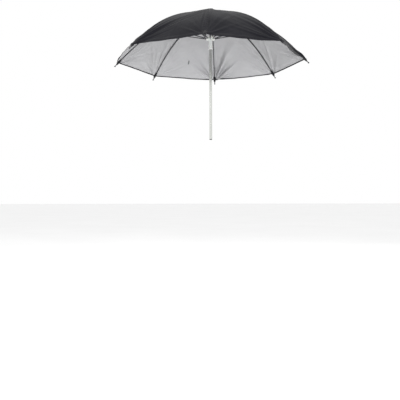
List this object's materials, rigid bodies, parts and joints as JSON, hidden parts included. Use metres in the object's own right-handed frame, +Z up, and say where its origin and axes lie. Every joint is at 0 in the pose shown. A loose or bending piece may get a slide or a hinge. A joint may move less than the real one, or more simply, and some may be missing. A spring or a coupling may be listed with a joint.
{
  "type": "umbrella reflector",
  "caption": "Folding photographic umbrella, black cloth with silver inside on hinged ribs, with a sliding runner on a plain round shaft for a bracket.",
  "frame": {"origin": "centre of the shaft's foot, at the lower end of the stretch that a bracket grips", "axes": "+Z up the shaft to the crown; +X along rib 1, with the ribs every 45 degrees towards +Y"},
  "size_m": [0.5462, 0.5462, 0.3716],
  "materials": {
    "shaft_metal": "polished plated steel tube",
    "bright_steel": "drawn wire and pins",
    "rib_steel": "dark enamelled spring steel, semi-gloss",
    "runner_plastic": "white moulded plastic, satin",
    "cap_plastic": "pale grey moulded plastic",
    "black_plastic": "black moulded plastic",
    "canopy_cloth": "woven cloth, black outside and silver-coated inside",
    "strap_web": "black woven tape",
    "hook_tape": "hook-and-loop tape"
  },
  "bodies": {
    "frame": {"shaft_tube": "shaft_metal", "foot_plug": "black_plastic", "stop_pin": "bright_steel", "top_cap": "cap_plastic", "crown_rosette": "strap_web", "notch": "black_plastic", "notch_wire": "bright_steel"},
    "rib_1": {"rib_1": "rib_steel", "rib_tip_1": "black_plastic"},
    "stretcher_1": {"stretcher_1": "rib_steel", "stretcher_rivet_1": "bright_steel"},
    "panel_1": {"canopy_panel_1": "canopy_cloth"},
    "rib_2": {"rib_2": "rib_steel", "rib_tip_2": "black_plastic"},
    "stretcher_2": {"stretcher_2": "rib_steel", "stretcher_rivet_2": "bright_steel"},
    "panel_2": {"canopy_panel_2": "canopy_cloth"},
    "rib_3": {"rib_3": "rib_steel", "rib_tip_3": "black_plastic"},
    "stretcher_3": {"stretcher_3": "rib_steel", "stretcher_rivet_3": "bright_steel"},
    "panel_3": {"canopy_panel_3": "canopy_cloth", "closing_strap": "strap_web", "strap_patch": "hook_tape"},
    "rib_4": {"rib_4": "rib_steel", "rib_tip_4": "black_plastic"},
    "stretcher_4": {"stretcher_4": "rib_steel", "stretcher_rivet_4": "bright_steel"},
    "panel_4": {"canopy_panel_4": "canopy_cloth"},
    "rib_5": {"rib_5": "rib_steel", "rib_tip_5": "black_plastic"},
    "stretcher_5": {"stretcher_5": "rib_steel", "stretcher_rivet_5": "bright_steel"},
    "panel_5": {"canopy_panel_5": "canopy_cloth"},
    "rib_6": {"rib_6": "rib_steel", "rib_tip_6": "black_plastic"},
    "stretcher_6": {"stretcher_6": "rib_steel", "stretcher_rivet_6": "bright_steel"},
    "panel_6": {"canopy_panel_6": "canopy_cloth"},
    "rib_7": {"rib_7": "rib_steel", "rib_tip_7": "black_plastic"},
    "stretcher_7": {"stretcher_7": "rib_steel", "stretcher_rivet_7": "bright_steel"},
    "panel_7": {"canopy_panel_7": "canopy_cloth"},
    "rib_8": {"rib_8": "rib_steel", "rib_tip_8": "black_plastic"},
    "stretcher_8": {"stretcher_8": "rib_steel", "stretcher_rivet_8": "bright_steel"},
    "panel_8": {"canopy_panel_8": "canopy_cloth"},
    "runner": {"runner": "runner_plastic", "runner_wire": "bright_steel"},
    "catch": {"catch_spring": "bright_steel"}
  },
  "joints": [
    {"name": "rib_1_fold", "type": "hinge", "parent": "frame", "child": "rib_1", "pos_m": [0.009, 0, 0.354], "axis": [0, 1, 0], "range_deg": [0, 61], "deforming": ["canopy_panel_1", "canopy_panel_2", "canopy_panel_3", "canopy_panel_4", "canopy_panel_5", "canopy_panel_6", "canopy_panel_7", "canopy_panel_8", "closing_strap", "strap_patch", "catch_spring"]},
    {"name": "stretcher_1_pivot", "type": "hinge", "parent": "rib_1", "child": "stretcher_1", "pos_m": [0.12928, 0, 0.31726], "axis": [0, 1, 0], "range_deg": [-122, 0]},
    {"name": "panel_1_drape", "type": "hinge", "parent": "rib_1", "child": "panel_1", "pos_m": [0.009, 0.00373, 0.354], "axis": [-0.8115, -0.3361, -0.478], "range_deg": [0, 44.81]},
    {"name": "rib_2_fold", "type": "hinge", "parent": "frame", "child": "rib_2", "pos_m": [0.00636, 0.00636, 0.354], "axis": [-0.7071, 0.7071, 0], "range_deg": [0, 61]},
    {"name": "stretcher_2_pivot", "type": "hinge", "parent": "rib_2", "child": "stretcher_2", "pos_m": [0.09141, 0.09141, 0.31726], "axis": [-0.7071, 0.7071, 0], "range_deg": [-122, 0]},
    {"name": "panel_2_drape", "type": "hinge", "parent": "rib_2", "child": "panel_2", "pos_m": [0.00373, 0.009, 0.354], "axis": [-0.3361, -0.8115, -0.478], "range_deg": [0, 44.81]},
    {"name": "rib_3_fold", "type": "hinge", "parent": "frame", "child": "rib_3", "pos_m": [0, 0.009, 0.354], "axis": [-1, 0, 0], "range_deg": [0, 61]},
    {"name": "stretcher_3_pivot", "type": "hinge", "parent": "rib_3", "child": "stretcher_3", "pos_m": [0, 0.12928, 0.31726], "axis": [-1, 0, 0], "range_deg": [-122, 0]},
    {"name": "panel_3_drape", "type": "hinge", "parent": "rib_3", "child": "panel_3", "pos_m": [-0.00373, 0.009, 0.354], "axis": [0.3361, -0.8115, -0.478], "range_deg": [0, 44.81]},
    {"name": "rib_4_fold", "type": "hinge", "parent": "frame", "child": "rib_4", "pos_m": [-0.00636, 0.00636, 0.354], "axis": [-0.7071, -0.7071, 0], "range_deg": [0, 61]},
    {"name": "stretcher_4_pivot", "type": "hinge", "parent": "rib_4", "child": "stretcher_4", "pos_m": [-0.09141, 0.09141, 0.31726], "axis": [-0.7071, -0.7071, 0], "range_deg": [-122, 0]},
    {"name": "panel_4_drape", "type": "hinge", "parent": "rib_4", "child": "panel_4", "pos_m": [-0.009, 0.00373, 0.354], "axis": [0.8115, -0.3361, -0.478], "range_deg": [0, 44.81]},
    {"name": "rib_5_fold", "type": "hinge", "parent": "frame", "child": "rib_5", "pos_m": [-0.009, 0, 0.354], "axis": [0, -1, 0], "range_deg": [0, 61]},
    {"name": "stretcher_5_pivot", "type": "hinge", "parent": "rib_5", "child": "stretcher_5", "pos_m": [-0.12928, 0, 0.31726], "axis": [0, -1, 0], "range_deg": [-122, 0]},
    {"name": "panel_5_drape", "type": "hinge", "parent": "rib_5", "child": "panel_5", "pos_m": [-0.009, -0.00373, 0.354], "axis": [0.8115, 0.3361, -0.478], "range_deg": [0, 44.81]},
    {"name": "rib_6_fold", "type": "hinge", "parent": "frame", "child": "rib_6", "pos_m": [-0.00636, -0.00636, 0.354], "axis": [0.7071, -0.7071, 0], "range_deg": [0, 61]},
    {"name": "stretcher_6_pivot", "type": "hinge", "parent": "rib_6", "child": "stretcher_6", "pos_m": [-0.09141, -0.09141, 0.31726], "axis": [0.7071, -0.7071, 0], "range_deg": [-122, 0]},
    {"name": "panel_6_drape", "type": "hinge", "parent": "rib_6", "child": "panel_6", "pos_m": [-0.00373, -0.009, 0.354], "axis": [0.3361, 0.8115, -0.478], "range_deg": [0, 44.81]},
    {"name": "rib_7_fold", "type": "hinge", "parent": "frame", "child": "rib_7", "pos_m": [0, -0.009, 0.354], "axis": [1, 0, 0], "range_deg": [0, 61]},
    {"name": "stretcher_7_pivot", "type": "hinge", "parent": "rib_7", "child": "stretcher_7", "pos_m": [0, -0.12928, 0.31726], "axis": [1, 0, 0], "range_deg": [-122, 0]},
    {"name": "panel_7_drape", "type": "hinge", "parent": "rib_7", "child": "panel_7", "pos_m": [0.00373, -0.009, 0.354], "axis": [-0.3361, 0.8115, -0.478], "range_deg": [0, 44.81]},
    {"name": "rib_8_fold", "type": "hinge", "parent": "frame", "child": "rib_8", "pos_m": [0.00636, -0.00636, 0.354], "axis": [0.7071, 0.7071, 0], "range_deg": [0, 61]},
    {"name": "stretcher_8_pivot", "type": "hinge", "parent": "rib_8", "child": "stretcher_8", "pos_m": [0.09141, -0.09141, 0.31726], "axis": [0.7071, 0.7071, 0], "range_deg": [-122, 0]},
    {"name": "panel_8_drape", "type": "hinge", "parent": "rib_8", "child": "panel_8", "pos_m": [0.009, -0.00373, 0.354], "axis": [-0.8115, 0.3361, -0.478], "range_deg": [0, 44.81]},
    {"name": "runner_hinge", "type": "hinge", "parent": "stretcher_1", "child": "runner", "pos_m": [0.009, 0, 0.28051], "axis": [0, 1, 0], "range_deg": [0, 61]},
    {"name": "catch_press", "type": "hinge", "parent": "frame", "child": "catch", "pos_m": [0, 0, 0.21621], "axis": [1, 0, 0], "range_deg": [0, 4.5], "stiffness_Nm_per_rad": 0.05}
  ],
  "couplings": [
    {"joint": "stretcher_1_pivot", "follows": "rib_1_fold", "ratio": -2},
    {"joint": "panel_1_drape", "follows": "rib_1_fold", "ratio": 0.7344},
    {"joint": "rib_2_fold", "follows": "rib_1_fold", "ratio": 1},
    {"joint": "stretcher_2_pivot", "follows": "rib_1_fold", "ratio": -2},
    {"joint": "panel_2_drape", "follows": "rib_1_fold", "ratio": 0.7344},
    {"joint": "rib_3_fold", "follows": "rib_1_fold", "ratio": 1},
    {"joint": "stretcher_3_pivot", "follows": "rib_1_fold", "ratio": -2},
    {"joint": "panel_3_drape", "follows": "rib_1_fold", "ratio": 0.7344},
    {"joint": "rib_4_fold", "follows": "rib_1_fold", "ratio": 1},
    {"joint": "stretcher_4_pivot", "follows": "rib_1_fold", "ratio": -2},
    {"joint": "panel_4_drape", "follows": "rib_1_fold", "ratio": 0.7344},
    {"joint": "rib_5_fold", "follows": "rib_1_fold", "ratio": 1},
    {"joint": "stretcher_5_pivot", "follows": "rib_1_fold", "ratio": -2},
    {"joint": "panel_5_drape", "follows": "rib_1_fold", "ratio": 0.7344},
    {"joint": "rib_6_fold", "follows": "rib_1_fold", "ratio": 1},
    {"joint": "stretcher_6_pivot", "follows": "rib_1_fold", "ratio": -2},
    {"joint": "panel_6_drape", "follows": "rib_1_fold", "ratio": 0.7344},
    {"joint": "rib_7_fold", "follows": "rib_1_fold", "ratio": 1},
    {"joint": "stretcher_7_pivot", "follows": "rib_1_fold", "ratio": -2},
    {"joint": "panel_7_drape", "follows": "rib_1_fold", "ratio": 0.7344},
    {"joint": "rib_8_fold", "follows": "rib_1_fold", "ratio": 1},
    {"joint": "stretcher_8_pivot", "follows": "rib_1_fold", "ratio": -2},
    {"joint": "panel_8_drape", "follows": "rib_1_fold", "ratio": 0.7344},
    {"joint": "runner_hinge", "follows": "rib_1_fold", "ratio": 1}
  ]
}
